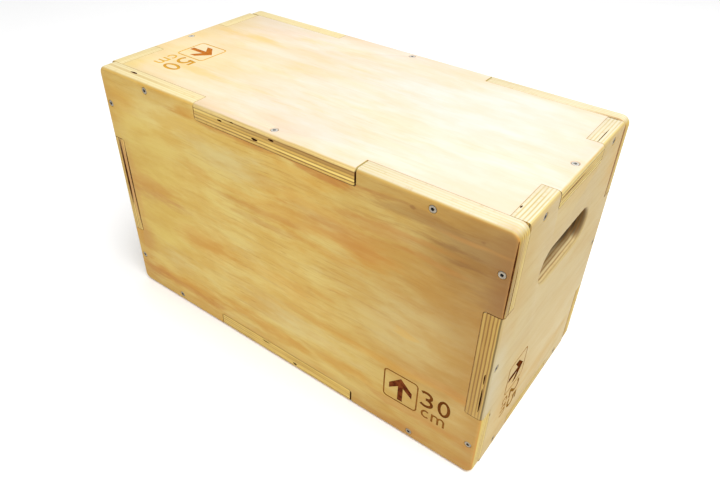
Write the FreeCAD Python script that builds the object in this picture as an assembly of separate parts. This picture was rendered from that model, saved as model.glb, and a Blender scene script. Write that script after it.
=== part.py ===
import FreeCAD, Part
import math
import os
from collections import namedtuple
from FreeCAD import Rotation, Vector

# Plyo box of six plywood panels that lock together by finger joints and are screwed along every edge.
# Lengths are millimetres. The origin is in the middle of the underside, X runs along the length,
# Y from front to rear and Z up.

# Outside of the box
box_length = 500.0
box_depth = 250.0
box_height = 300.0
panel_thickness = 18.0
edge_round = 4.0
corner_round = 9.0

# Finger joints: every tab sits in the middle of its side, and panels keep a thin gap where they meet
long_tab_length = 200.0
cross_tab_length = 100.0
upright_tab_length = 130.0
cutter_radius = 3.0
seam_gap = 0.3
tab_gap = 0.6
long_tab_open_gap = 1.8
end_panel_rear_gap = 1.5

# Hand hole in each end panel
hand_hole_length = 110.0
hand_hole_height = 38.0
hand_hole_below_top = 84.0
hand_hole_rim = 2.0

# Countersunk wood screw with a cross recess, drawn with flat sides because there are many of them
screw_sides = 8
screw_length = 40.0
screw_radius = 2.0
screw_point_length = 6.0
screw_point_radius = 0.4
screw_head_radius = 4.0
screw_head_height = 2.2
screw_sunk = 0.3
screw_clearance = 0.15
recess_width = 4.4
recess_slot = 1.1
recess_depth = 1.4

# How far a cutting body runs past the face that it cuts
overrun = 10.0

# Sides of the box: outward direction, the two directions along the panel, distance from the middle
Side = namedtuple("Side", "outward across up reach")
axis_x = Vector(1, 0, 0)
axis_y = Vector(0, 1, 0)
axis_z = Vector(0, 0, 1)
half_length = box_length / 2
half_depth = box_depth / 2
half_height = box_height / 2
front = Side(-axis_y, axis_x, axis_z, half_depth)
rear = Side(axis_y, axis_x, axis_z, half_depth)
left = Side(-axis_x, axis_y, axis_z, half_length)
right = Side(axis_x, axis_y, axis_z, half_length)
top = Side(axis_z, axis_x, axis_y, half_height)
bottom = Side(-axis_z, axis_x, axis_y, half_height)

# Places that follow from the sizes above
middle = axis_z * half_height
inner_half_length = half_length - panel_thickness
inner_half_depth = half_depth - panel_thickness
finger_mid_along_length = (half_length + long_tab_length / 2) / 2
finger_mid_along_depth = (inner_half_depth + cross_tab_length / 2) / 2
finger_mid_along_height = (half_height + upright_tab_length / 2) / 2


def prism(edges, direction, length):
    """Closed outline of edges, pushed along a direction."""
    return Part.Face(Part.Wire(edges)).extrude(direction * length)


def line(start, end):
    return Part.LineSegment(start, end).toShape()


def arc(start, through, end):
    return Part.Arc(start, through, end).toShape()


def slab(side, low_across, high_across, low_up, high_up):
    """Flat panel on one side of the box, between limits measured from the middle of the box."""
    inside = middle + side.outward * (side.reach - panel_thickness)
    limits = [(low_across, low_up), (high_across, low_up), (high_across, high_up), (low_across, high_up)]
    corners = [inside + side.across * across + side.up * up for across, up in limits]
    outline = Part.makePolygon(corners + corners[:1])
    return Part.Face(outline).extrude(side.outward * panel_thickness)


def shared_edge(side, other):
    """Positive direction along the edge that two sides share."""
    run = side.outward.cross(other.outward)
    return run * (run.x + run.y + run.z)


def key(tab_side, seat_side, low, high, depth):
    """Body of a tab that the panel on tab_side puts through the panel on seat_side.

    It runs from low to high along their shared edge and reaches depth below the face of tab_side.
    Its two inner corners are round, as a round cutter leaves the notch that it fits.
    """
    run = shared_edge(tab_side, seat_side)
    start = middle + seat_side.outward * (seat_side.reach - panel_thickness - overrun)
    floor = tab_side.reach - depth
    shoulder = floor + cutter_radius
    outside = tab_side.reach + overrun
    arc_inset = cutter_radius * (1 - 0.5 ** 0.5)

    def spot(place, height):
        return start + run * place + tab_side.outward * height

    low_end = low + cutter_radius
    high_end = high - cutter_radius
    outline = [
        line(spot(low, outside), spot(low, shoulder)),
        arc(spot(low, shoulder), spot(low + arc_inset, floor + arc_inset), spot(low_end, floor)),
        line(spot(low_end, floor), spot(high_end, floor)),
        arc(spot(high_end, floor), spot(high - arc_inset, floor + arc_inset), spot(high, shoulder)),
        line(spot(high, shoulder), spot(high, outside)),
        line(spot(high, outside), spot(low, outside)),
    ]
    return prism(outline, seat_side.outward, panel_thickness + 2 * overrun)


def notch(tab_side, seat_side, length):
    """What is cut from the panel on seat_side to let a tab through."""
    return key(tab_side, seat_side, -length / 2, length / 2, panel_thickness + seam_gap)


def tab(tab_side, seat_side, length, low_gap, high_gap):
    """Tab that lies in the notch of the same length with a gap at each end."""
    return key(tab_side, seat_side, low_gap - length / 2, length / 2 - high_gap, panel_thickness)


def whole_block():
    """Outside of the assembled box before its edges are rounded over."""
    return Part.makeBox(box_length, box_depth, box_height, Vector(-half_length, -half_depth, 0))


def round_cornered_outside():
    """Outside of front and rear: round corners, and a roundover that runs all along the outline."""
    block = whole_block()
    along_depth = [edge for edge in block.Edges if edge.BoundBox.YLength > half_depth]
    rounded = block.makeFillet(corner_round, along_depth)
    outlines = [edge for edge in rounded.Edges if edge.BoundBox.YLength < edge_round]
    return rounded.makeFillet(edge_round, outlines)


def straight_edged_outside():
    """Outside of the panels between front and rear: a roundover along every edge."""
    block = whole_block()
    return block.makeFillet(edge_round, block.Edges)


def broad_panel(side):
    """Front or rear: the whole outline of the box, notched in the middle of each edge."""
    whole = slab(side, -half_length, half_length, -half_height, half_height)
    notches = [notch(level, side, long_tab_length) for level in (top, bottom)]
    notches += [notch(end, side, upright_tab_length) for end in (left, right)]
    return whole.cut(notches).common(round_cornered_outside())


def level_panel(side):
    """Top or bottom: lies inside the other four, with a tab through each of them."""
    reach_x = inner_half_length - seam_gap
    reach_y = inner_half_depth - seam_gap
    tabs = [tab(side, broad, long_tab_length, tab_gap, long_tab_open_gap) for broad in (front, rear)]
    tabs += [tab(side, end, cross_tab_length, tab_gap, tab_gap) for end in (left, right)]
    return slab(side, -reach_x, reach_x, -reach_y, reach_y).fuse(tabs).common(straight_edged_outside())


def hand_hole(side):
    """Long round-ended body that passes through an end panel."""
    end_radius = hand_hole_height / 2
    half_hole = hand_hole_length / 2
    half_straight = half_hole - end_radius
    start = side.outward * (side.reach - panel_thickness - overrun)
    start += axis_z * (box_height - hand_hole_below_top)

    def spot(across, up):
        return start + side.across * across + side.up * up

    outline = [
        line(spot(half_straight, end_radius), spot(-half_straight, end_radius)),
        arc(spot(-half_straight, end_radius), spot(-half_hole, 0), spot(-half_straight, -end_radius)),
        line(spot(-half_straight, -end_radius), spot(half_straight, -end_radius)),
        arc(spot(half_straight, -end_radius), spot(half_hole, 0), spot(half_straight, end_radius)),
    ]
    return prism(outline, side.outward, panel_thickness + 2 * overrun)


def open_hand_hole(panel, side):
    """End panel with its hand hole cut, both rims eased."""
    hole = hand_hole(side)
    opened = panel.cut(hole)
    room = hole.BoundBox
    room.enlarge(hand_hole_rim)
    hole_edges = [edge for edge in opened.Edges if room.isInside(edge.BoundBox)]
    rims = [edge for edge in hole_edges if edge.BoundBox.XLength < hand_hole_rim]
    return opened.makeChamfer(hand_hole_rim, rims)


def end_panel(side):
    """Left or right end: stands between front and rear, notched for the tabs of top and bottom."""
    front_limit = seam_gap - inner_half_depth
    rear_limit = inner_half_depth - end_panel_rear_gap
    whole = slab(side, front_limit, rear_limit, -half_height, half_height)
    tabs = [tab(side, broad, upright_tab_length, tab_gap, tab_gap) for broad in (front, rear)]
    notches = [notch(level, side, cross_tab_length) for level in (top, bottom)]
    closed = whole.fuse(tabs).cut(notches).common(straight_edged_outside())
    return open_hand_hole(closed, side)


def many_sided(sections):
    """Flat-sided solid through level sections, each a radius and a height, from the top down."""
    turns = [2 * math.pi * k / screw_sides for k in range(screw_sides + 1)]
    rings = []
    for radius, height in sections:
        rings.append([Vector(radius * math.cos(turn), radius * math.sin(turn), height) for turn in turns])
    outlines = [rings[0], rings[-1][::-1]]
    for above, below in zip(rings, rings[1:]):
        for k in range(screw_sides):
            outlines.append([above[k], below[k], below[k + 1], above[k + 1], above[k]])
    faces = [Part.Face(Part.makePolygon(outline)) for outline in outlines]
    return Part.makeSolid(Part.makeShell(faces))


def screw_body():
    """Screw with its head at Z = 0 and its point below."""
    body = many_sided([
        (screw_head_radius, 0),
        (screw_radius, -screw_head_height),
        (screw_radius, screw_point_length - screw_length),
        (screw_point_radius, -screw_length),
    ])
    return body.cut(cross_recess())


def screw_hole():
    """Countersunk hole that a screw lies in, open above its head."""
    head = screw_head_radius + screw_clearance
    shank = screw_radius + screw_clearance
    return many_sided([
        (head, overrun),
        (head, 0),
        (shank, -screw_head_height),
        (shank, -screw_length - screw_clearance),
    ])


def cross_recess():
    """Cross-shaped pocket in the middle of a screw head."""
    height = recess_depth + overrun
    half_width = recess_width / 2
    half_slot = recess_slot / 2
    slot = Part.makeBox(recess_width, recess_slot, height, Vector(-half_width, -half_slot, -recess_depth))
    other = Part.makeBox(recess_slot, recess_width, height, Vector(-half_slot, -half_width, -recess_depth))
    return slot.fuse(other).removeSplitter()


def edge_screw_places(finger_side, tab_side, finger_mid):
    """Head and direction of the three screws of one edge.

    One goes through each finger into the other panel's edge, and one through the tab between them.
    """
    run = shared_edge(finger_side, tab_side)
    edge_inset = panel_thickness / 2

    def head(through, into, place):
        spot = middle + through.outward * (through.reach - screw_sunk)
        return spot + into.outward * (into.reach - edge_inset) + run * place, through.outward

    return [
        head(finger_side, tab_side, -finger_mid),
        head(finger_side, tab_side, finger_mid),
        head(tab_side, finger_side, 0),
    ]


def placed(body, spot, outward):
    """Copy of a screw-shaped body with its head at a place, looking outward."""
    copy = body.copy()
    copy.Placement = FreeCAD.Placement(spot, Rotation(axis_z, outward))
    return copy


# Panels by name, with the side that each is on
panel_sides = {
    "front_panel": front,
    "rear_panel": rear,
    "top_panel": top,
    "bottom_panel": bottom,
    "left_end_panel": left,
    "right_end_panel": right,
}
panels = {
    "front_panel": broad_panel(front),
    "rear_panel": broad_panel(rear),
    "top_panel": level_panel(top),
    "bottom_panel": level_panel(bottom),
    "left_end_panel": end_panel(left),
    "right_end_panel": end_panel(right),
}

# The twelve edges: the panel that keeps the fingers, the panel that has the tab, and the place of
# the screws in the fingers
edges = {
    "front_top": ("front_panel", "top_panel", finger_mid_along_length),
    "front_bottom": ("front_panel", "bottom_panel", finger_mid_along_length),
    "rear_top": ("rear_panel", "top_panel", finger_mid_along_length),
    "rear_bottom": ("rear_panel", "bottom_panel", finger_mid_along_length),
    "front_left": ("front_panel", "left_end_panel", finger_mid_along_height),
    "front_right": ("front_panel", "right_end_panel", finger_mid_along_height),
    "rear_left": ("rear_panel", "left_end_panel", finger_mid_along_height),
    "rear_right": ("rear_panel", "right_end_panel", finger_mid_along_height),
    "left_top": ("left_end_panel", "top_panel", finger_mid_along_depth),
    "left_bottom": ("left_end_panel", "bottom_panel", finger_mid_along_depth),
    "right_top": ("right_end_panel", "top_panel", finger_mid_along_depth),
    "right_bottom": ("right_end_panel", "bottom_panel", finger_mid_along_depth),
}

os.makedirs("parts", exist_ok=True)
screw = screw_body()
hole = screw_hole()
holes = {name: [] for name in panels}
for edge_name, (finger_panel, tab_panel, finger_mid) in edges.items():
    places = edge_screw_places(panel_sides[finger_panel], panel_sides[tab_panel], finger_mid)
    screws = Part.makeCompound([placed(screw, spot, outward) for spot, outward in places])
    screws.exportStep("parts/" + edge_name + "_screws.step")
    edge_holes = [placed(hole, spot, outward) for spot, outward in places]
    holes[finger_panel] += edge_holes
    holes[tab_panel] += edge_holes

for panel_name, panel in panels.items():
    drilled = panel.cut(holes[panel_name]).removeSplitter()
    drilled.exportStep("parts/" + panel_name + ".step")
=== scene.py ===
import math
import random

import bmesh
import bpy
from mathutils import Matrix, Vector


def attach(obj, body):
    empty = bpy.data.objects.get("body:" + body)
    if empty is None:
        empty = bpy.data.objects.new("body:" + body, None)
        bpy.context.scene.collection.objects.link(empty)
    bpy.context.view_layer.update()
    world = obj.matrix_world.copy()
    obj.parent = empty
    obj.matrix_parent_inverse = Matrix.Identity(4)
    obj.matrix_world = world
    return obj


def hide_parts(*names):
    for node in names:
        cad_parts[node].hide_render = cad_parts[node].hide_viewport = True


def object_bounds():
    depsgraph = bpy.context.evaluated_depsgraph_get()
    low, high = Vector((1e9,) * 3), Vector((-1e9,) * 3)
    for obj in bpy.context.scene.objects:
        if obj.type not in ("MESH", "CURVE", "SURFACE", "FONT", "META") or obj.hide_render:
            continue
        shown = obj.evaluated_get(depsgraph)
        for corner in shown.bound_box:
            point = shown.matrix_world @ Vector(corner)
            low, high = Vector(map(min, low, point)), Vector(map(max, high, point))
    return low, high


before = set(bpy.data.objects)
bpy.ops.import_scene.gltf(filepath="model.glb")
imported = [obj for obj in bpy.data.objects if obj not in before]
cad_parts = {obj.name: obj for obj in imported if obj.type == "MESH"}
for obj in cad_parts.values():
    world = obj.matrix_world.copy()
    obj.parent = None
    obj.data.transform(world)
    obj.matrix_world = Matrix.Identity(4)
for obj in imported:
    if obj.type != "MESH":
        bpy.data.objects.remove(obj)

# Plyo box of six pine plywood panels. Lengths are metres, in the frame of the solids.
cad_low, cad_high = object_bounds()
MM = 0.001
AXES = (Vector((1, 0, 0)), Vector((0, 1, 0)), Vector((0, 0, 1)))
X, Y, Z = AXES
SQUARE_SIGNS = ((1, 1), (-1, 1), (-1, -1), (1, -1))

# Outer faces of the box in millimetres
LEFT, FRONT = (round(part / MM, 3) for part in cad_low.xy)
RIGHT, REAR, TOP = (round(part / MM, 3) for part in cad_high)

# Plywood sheet: two face veneers and five core plies
FACE_VENEER = 1.3 * MM
END_FACE = 2.0 * MM
CORE_PLY = 3.34 * MM
CORE_PLIES = 5
GLUE_LINE = 1.1 * MM

# Waves of plies and fibres with their rates per metre, and jumps of the noise from ply to ply
PLY_WOBBLE = 0.9 * MM
PLY_WOBBLE_RATE = 30.0
FIBRE_DRIFT = 12 * MM
DRIFT_RATE = 9.0
GLUE_PATCH_RATE = 22.0
END_PATCH_RATE = 14.0
PLY_TONE_RATE = 5.0
FIBRE_RATES = (60.0, 2200.0)
PLY_JUMP = 3.7
LINE_JUMP = 5.3

# Figure of the wood, drawn out along the fibres: rates along and across, detail, roughness and shift
CLOUDS = (7.0, 28.0, 3.0, 0.55, 0.0)
PATCHES = (16.0, 75.0, 4.0, 0.6, 0.3)
BANDS = (4.0, 120.0, 4.0, 0.65, 1.5)
STREAKS = (9.0, 260.0, 3.0, 0.6, 0.6)
STRANDS = (18.0, 560.0, 3.0, 0.6, 2.1)
DASHES = (60.0, 1100.0, 1.0, 0.5, 0.9)
MOTTLE = (15.0, 44.0, 4.0, 0.6, 3.3)
RAGGED = (16.0, 90.0, 4.0, 0.65, 1.2)
RAGGED_MOST = 1.6
RAGGED_MM = 24

# Zones of the looks, painted light and shade among them: the ends of each change, or its reach
LIT_BELOW_TOP = (20 * MM, 10 * MM)
INSIDE_BELOW_TOP = (7 * MM, 2 * MM)
SCORCH_LIT_BELOW_TOP = (5 * MM, 2 * MM)
GRIME_LIT_BELOW_TOP = (4 * MM, 2 * MM)
FRONT_SHADE_RIGHT = (100 * MM, 240 * MM)
FRONT_SHADE_LEFT = (200 * MM, 240 * MM)
PALE_SPAN = 220 * MM
BORDER_WIDTH = 34 * MM
BORDER_RAGGED = 12 * MM
END_FACE_LINE = (0.4 * MM, 1.0 * MM)
# Reaches of the painted shade in a hand hole and at its rear end
HOLE_SHADE_DEPTH = (4 * MM, 15 * MM)
HOLE_DEEP_SHADE_DEPTH = (2 * MM, 7 * MM)
HOLE_FADE = 8 * MM
REAR_WALL_DEPTH = (0.3 * MM, 2.5 * MM)
REAR_SPAN = (10 * MM, 45 * MM)
REAR_DEPTH = (5 * MM, 12 * MM)
REAR_TONE_DEPTH = (2 * MM, 9 * MM)

# Fine relief, and rates of scratches
WOOD_RELIEF = 0.25 * MM
BURN_RELIEF = 0.2 * MM
ZINC_RELIEF = 0.02 * MM
GRIME_RELIEF = 0.05 * MM
SCRATCH_RATES = (6000.0, 900.0, 2500.0)

# Edges that the cutter left are broken a little; the rims of the hand holes are rounded
EDGE_BREAK = 0.45 * MM
RIM_BREAK = 0.8 * MM
SHARP_EDGE = math.radians(50)
RIM_EDGE = math.radians(30)
SMOOTH_BELOW = math.radians(35)
FLAT_FACE = 0.9995
FLAT_EDGE = math.radians(0.5)
WELD = 0.001 * MM
JOINT_REACH = 20 * MM
JOINT_COVER = 0.3 * MM
HOLE_INSET = 25 * MM
HOLE_MIDDLE = 216 * MM
UP_FACING = 0.3

# Burnt height marks
BURN_DEPTH = 0.4 * MM
CUT_OVERRUN = 1 * MM
FRAME_SIDE = 41 * MM
FRAME_CORNER = 5 * MM
FRAME_LINE = 1.6 * MM
DIGIT_HEIGHT = 22.6 * MM
DIGIT_WIDTH = 14 * MM
DIGIT_LINE = 3.4 * MM
DIGIT_SPACING = 4.8 * MM
LETTER_HEIGHT = 11.5 * MM
LETTER_LINE = 2.2 * MM
MITRE_LEAST = 0.5
ZERO_SIDES = 48

# Wood screws, sunk a little in round countersinks
SCREW_HEAD = 3.3 * MM
SCREW_SHANK = 2 * MM
SCREW_CORE = 1.45 * MM
SCREW_HEAD_HEIGHT = 2.2 * MM
SCREW_PITCH = 2 * MM
SCREW_POINT = 6 * MM
SCREW_SUNK = 0.3 * MM
HEAD_EDGE = 0.25 * MM
HEAD_RIM_DROP = 0.4 * MM
RECESS_ARM = 1.85 * MM
RECESS_WIDTH = 0.85 * MM
RECESS_DEPTH = 1.5 * MM
RECESS_MOUTH_SHARES = (1.12, 1.2, 0.5)
RECESS_FOOT_SHARES = (0.35, 0.7, -1.0)
TIP_SHARE = 0.08
RIDGE_SLOPE = 3
SINK_RADIUS = 4.4 * MM
SINK_WALL = 4.2 * MM
SINK_FOOT = 2.2 * MM
SINK_DEPTH = 2.5 * MM
NEAR_SCREW = 9 * MM
HEAD_SIDES = 40
SHANK_SIDES = 12
RINGS_PER_TURN = 4

# Floor, light, and camera at the photograph's viewing angle
FLOOR_HALF = 12.0
FLOOR_DROP = 0.3 * MM
WORLD_STRENGTH = 0.7
LIGHT_PLACE = Vector((0.75, -0.2, 1.9))
LIGHT_SIZE = 1.6
LIGHT_POWER = 46
CAMERA_PLACE = (0.37343, -0.49946, 0.57664)
CAMERA_TURN = (0.924665, -0.022718, 0.637396)
CAMERA_LENS_MM = 32.268
SENSOR_MM = 36


class Tree:
    """Small helper that adds shader nodes and gives back their outputs."""

    def __init__(self, name):
        self.material = bpy.data.materials.new(name)
        self.material.use_nodes = True
        self.nodes = self.material.node_tree.nodes
        self.links = self.material.node_tree.links
        self.shader = self.nodes["Principled BSDF"]

    def put(self, socket, value):
        """Link or set an input; a colour is given as red, green and blue."""
        if isinstance(value, bpy.types.NodeSocket):
            self.links.new(value, socket)
        elif socket.type == "RGBA":
            socket.default_value = (*value, 1.0)
        else:
            socket.default_value = value

    def add(self, kind, values, output=0, **settings):
        """New node with values for its inputs by name or number, and its settings."""
        node = self.nodes.new("ShaderNode" + kind)
        for name, value in settings.items():
            setattr(node, name, value)
        for key, value in values.items():
            self.put(node.inputs[key], value)
        return node.outputs[output]

    def math(self, operation, *values):
        return self.add("Math", dict(enumerate(values)), operation=operation)

    def product(self, *values):
        result = values[0]
        for value in values[1:]:
            result = self.math("MULTIPLY", result, value)
        return result

    def centred(self, noise):
        return self.math("SUBTRACT", noise, 0.5)

    def dot(self, vector, direction):
        return self.add("VectorMath", {0: vector, 1: direction}, "Value", operation="DOT_PRODUCT")

    def vector(self, x, y, z):
        return self.add("CombineXYZ", {0: x, 1: y, 2: z})

    def place(self):
        return self.add("TexCoord", {}, "Object")

    def noise(self, vector, scale, detail=2.0, roughness=0.5):
        values = {"Vector": vector, "Scale": scale, "Detail": detail, "Roughness": roughness}
        return self.add("TexNoise", values, "Fac")

    def step(self, value, low, high, out_low=0.0, out_high=1.0):
        """Smooth change from out_low to out_high as value goes from low to high."""
        values = {0: value, 1: low, 2: high, 3: out_low, 4: out_high}
        return self.add("MapRange", values, interpolation_type="SMOOTHSTEP")

    def below_top(self, place, low, high, *outputs):
        """Smooth change between two distances below the top of the box."""
        return self.step(self.dot(place, Z), cad_high.z - low, cad_high.z - high, *outputs)

    def mix(self, factor, first, second, blend="MIX"):
        """Blend of two colours."""
        values = {0: factor, 6: first, 7: second}
        return self.add("Mix", values, 2, data_type="RGBA", blend_type=blend)

    def blend(self, factor, first, second):
        """Blend of two numbers."""
        return self.add("Mix", {0: factor, 2: first, 3: second})

    def bump(self, height, distance, strength):
        return self.add("Bump", {"Height": height, "Distance": distance, "Strength": strength}, "Normal")

    def finish(self, values):
        """Put values into the shader's sockets and give back the material."""
        for name, value in values.items():
            self.put(self.shader.inputs[name], value)
        return self.material


class Plywood(Tree):
    """Solid pine plywood, cut anywhere: each ply has its own fibres, with a dark glue line between plies.

    Core plies lie by turns across and along the grain.
    """

    def __init__(self, name, outward, grain, veneer, figure, seed):
        super().__init__(name)
        self.outward = outward
        self.grain = grain
        self.across = outward.cross(grain)
        self.is_end = bool(outward.x)
        self.light, self.warm, self.dark, self.pale = veneer
        self.figure = figure
        self.seed = float(seed)
        self.at = self.place()
        self.normal = self.add("TexCoord", {}, "Normal")
        self.along_grain = self.dot(self.at, self.grain)
        self.across_grain = self.dot(self.at, self.across)
        self.set_plies()
        self.set_zones()
        self.set_fibres()

    def faces(self, direction, low=0.3, high=0.9):
        """How far the surface faces a direction."""
        return self.step(self.dot(self.normal, direction), low, high)

    def set_plies(self):
        """Depth below the face, and which ply lies there."""
        reach = max(cad_low.dot(self.outward), cad_high.dot(self.outward))
        self.depth = self.math("SUBTRACT", reach, self.dot(self.at, self.outward))
        wobble = self.centred(self.noise(self.at, PLY_WOBBLE_RATE))
        self.wavy_depth = self.math("MULTIPLY_ADD", wobble, PLY_WOBBLE, self.depth)
        self.layers = self.math("DIVIDE", self.math("SUBTRACT", self.wavy_depth, FACE_VENEER), CORE_PLY)
        self.layer = self.math("FLOOR", self.layers)
        self.is_cross = self.math("SUBTRACT", 1.0, self.math("FLOORED_MODULO", self.layer, 2.0))
        off_middle = self.math("ABSOLUTE", self.math("SUBTRACT", self.layer, (CORE_PLIES - 1) / 2))
        self.is_core = self.math("LESS_THAN", off_middle, CORE_PLIES / 2)
        if self.is_end:
            self.is_core = self.product(self.is_core, self.math("GREATER_THAN", self.wavy_depth, END_FACE))

    def set_zones(self):
        """Zones of the sheet.

        Edges that face up near the top get painted light, and those that face the front get painted shade
        towards the ends.
        The core shows far from the border only inside a hand hole.
        """
        self.faces_up = self.faces(Z)
        self.lit_on_top = self.product(self.faces_up, self.below_top(self.at, *LIT_BELOW_TOP))
        # Painted shade: edges that face the front darken towards the ends, most at the right
        to_right_end = self.step(self.dot(self.at, X), *FRONT_SHADE_RIGHT)
        to_left_end = self.step(self.dot(self.at, -X), *FRONT_SHADE_LEFT, 0.0, 0.3)
        self.front_end_shade = self.product(self.faces(-Y), self.math("ADD", to_right_end, to_left_end))
        gaps = []
        for way, line in ((self.grain, self.along_grain), (self.across, self.across_grain)):
            low, high = sorted((cad_low.dot(way), cad_high.dot(way)))
            gaps += [self.math("SUBTRACT", line, low), self.math("SUBTRACT", high, line)]
        self.inset = gaps[0]
        for gap in gaps[1:]:
            self.inset = self.math("MINIMUM", self.inset, gap)
        self.in_hole = self.math("GREATER_THAN", self.inset, HOLE_INSET)

    def set_fibres(self):
        """Fibre places: long way, wide way, and a jump from ply to ply."""
        drift = self.product(self.centred(self.noise(self.at, DRIFT_RATE)), FIBRE_DRIFT)
        self.long_way = self.blend(self.is_cross, self.along_grain, self.across_grain)
        wide_way = self.blend(self.is_cross, self.across_grain, self.along_grain)
        self.wide_way = self.math("ADD", wide_way, drift)
        self.jump = self.math("MULTIPLY_ADD", self.layer, PLY_JUMP, self.seed)
        self.spot = self.vector(self.along_grain, self.math("ADD", self.across_grain, drift), 0.0)
        self.streaks = self.drawn_out(*STREAKS)

    def drawn_out(self, along, over, detail, roughness, shift):
        """Noise that is stretched along the fibres."""
        spot = self.vector(self.product(self.long_way, along), self.product(self.wide_way, over),
                           self.math("ADD", self.jump, shift))
        return self.noise(spot, 1.0, detail, roughness)

    def far_from(self, along_mm, across_mm, half_along, half_across):
        """Distance from a spot on the face in which an ellipse round it is at one."""
        scale = (1 / (half_along * MM), 1 / (half_across * MM), 0.0)
        shift = (-along_mm / half_along, -across_mm / half_across, 0.0)
        offset = self.add("VectorMath", {0: self.spot, 1: scale, 2: shift}, operation="MULTIPLY_ADD")
        return self.add("VectorMath", {0: offset}, "Value", operation="LENGTH")

    def glue_lines(self):
        """Amount and colour of the glue, each line with its own strength and patchy along its run."""
        line = self.math("ROUND", self.layers)
        first_line = self.math("COMPARE", line, 0.0, 0.5)
        line_place = self.vector(self.product(line, LINE_JUMP), self.seed, 0.0)
        tone = self.step(self.noise(line_place, 1.0, 0.0), 0.35, 0.6, 0.6, 1.0)
        # Painted light: glue lines on edges that face up near the top are fainter and paler
        tone = self.product(tone, self.blend(self.lit_on_top, 0.95, 0.9))
        tone = self.blend(first_line, tone, self.blend(self.in_hole, 0.9, 0.3))
        patches = self.step(self.noise(self.at, GLUE_PATCH_RATE, 3.0), 0.35, 0.6, 0.6, 1.0)
        half_glue = GLUE_LINE / CORE_PLY / 2
        to_glue = self.math("PINGPONG", self.layers, 0.5)
        glue = self.product(self.step(to_glue, 0.5 * half_glue, 1.8 * half_glue, 1.0, 0.0), patches, tone)
        glue_in_top_light = LIT_TOP_GLUE_RIGHT if self.outward.x > 0 else LIT_TOP_GLUE
        tint = self.mix(self.lit_on_top, self.mix(first_line, GLUE, FIRST_GLUE), glue_in_top_light)
        if self.is_end:
            off_face = self.math("ABSOLUTE", self.math("SUBTRACT", self.wavy_depth, END_FACE))
            face_line = self.step(off_face, *END_FACE_LINE, 1.0, 0.0)
            face_glue = self.product(face_line, self.blend(self.in_hole, 1.0, 0.3))
            glue = self.math("MAXIMUM", self.product(glue, self.is_core), face_glue)
            end_glue = self.mix(self.lit_on_top, END_GLUE, LIT_TOP_GLUE)
            tint = self.mix(self.step(face_line, 0.0, 0.3), tint, end_glue)
        return glue, tint

    def face_wood(self, stains):
        """Face veneer: figure, stains with ragged ends, mottling, and a border that handling has browned."""
        figure = self.figure
        patches = self.drawn_out(*PATCHES)
        clouds = self.step(self.drawn_out(*CLOUDS), 0.45, 0.66, 0.0, 0.6 * figure)
        wood = self.mix(clouds, self.light, self.warm)
        wood = self.mix(self.step(patches, 0.52, 0.72, 0.0, 0.6 * figure), wood, self.warm)
        wood = self.mix(self.step(patches, 0.3, 0.47, 0.5 * figure, 0.0), wood, self.pale)
        for lines, low, high, strength in (
            (self.drawn_out(*BANDS), 0.52, 0.75, 0.2),
            (self.streaks, 0.52, 0.75, 0.3),
            (self.drawn_out(*STRANDS), 0.52, 0.75, 0.5),
            (self.drawn_out(*DASHES), 0.64, 0.76, 0.55),
        ):
            wood = self.mix(self.step(lines, low, high, 0.0, strength * figure), wood, self.dark)
        ragged = self.product(self.centred(self.drawn_out(*RAGGED)), 2.2)
        for *stretch, strength, tone in [(*spot, tone) for tone, *spots in stains for spot in spots]:
            tear = min(RAGGED_MOST, RAGGED_MM / stretch[-1])
            far = self.math("MULTIPLY_ADD", ragged, tear, self.far_from(*stretch))
            wood = self.mix(self.step(far, 0.15, 1.2, strength, 0.0), wood, tone)
        clouded = self.mix(self.step(self.drawn_out(*MOTTLE), 0.33, 0.67), PALE_MOTTLE, WARM_MOTTLE)
        wood = self.mix(min(1.0, 1.5 * figure ** 2), wood, clouded, "MULTIPLY")
        ragged_inset = self.math("MULTIPLY_ADD", ragged, BORDER_RAGGED, self.inset)
        border = (0.15 if self.is_end else 0.36) * figure
        return self.mix(self.step(ragged_inset, 0.0, BORDER_WIDTH, border, 0.0), wood, self.dark)

    def core_wood(self, brown_plies):
        """Core plies: painted light where they face up, painted shade where they face right and towards the
        ends where they face the front, browner in places, and painted shade inside a hand hole.
        """
        light, warm, dark = CORE
        to_right = self.step(self.dot(self.at, X), -PALE_SPAN, PALE_SPAN)
        # Painted light: core edges that face up are paler, whiter towards the right, and fully so on the
        # lower wall of a hand hole
        lit_facing_up = self.product(self.faces_up, self.blend(self.in_hole, 1.0, 0.55))
        light = self.mix(lit_facing_up, light, self.mix(to_right, LIT_EDGE_LEFT, LIT_EDGE))
        warm = self.mix(lit_facing_up, warm, self.mix(to_right, PALE_EDGE_WARM, LIT_EDGE))
        tone_place = self.vector(self.product(self.long_way, PLY_TONE_RATE), 0.0, self.jump)
        core = self.mix(self.step(self.noise(tone_place, 1.0), 0.4, 0.68, 0.0, 0.8), light, warm)
        core = self.mix(self.step(self.streaks, 0.5, 0.75, 0.0, 0.25), core, dark)
        for ply, *stretch, strength, tone in brown_plies:
            in_ply = self.math("COMPARE", self.layer, float(ply), 0.5)
            near = self.step(self.far_from(*stretch), 0.3, 1.0, strength, 0.0)
            core = self.mix(self.product(in_ply, near), core, tone)
        # Painted shade on edges that face the front, towards the ends
        core = self.mix(self.product(self.front_end_shade, 0.7), core, BROWN)
        # Painted shade on core edges that face right
        core = self.mix(self.faces(X), core, RIGHT_FACING_SHADE, "MULTIPLY")
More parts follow.
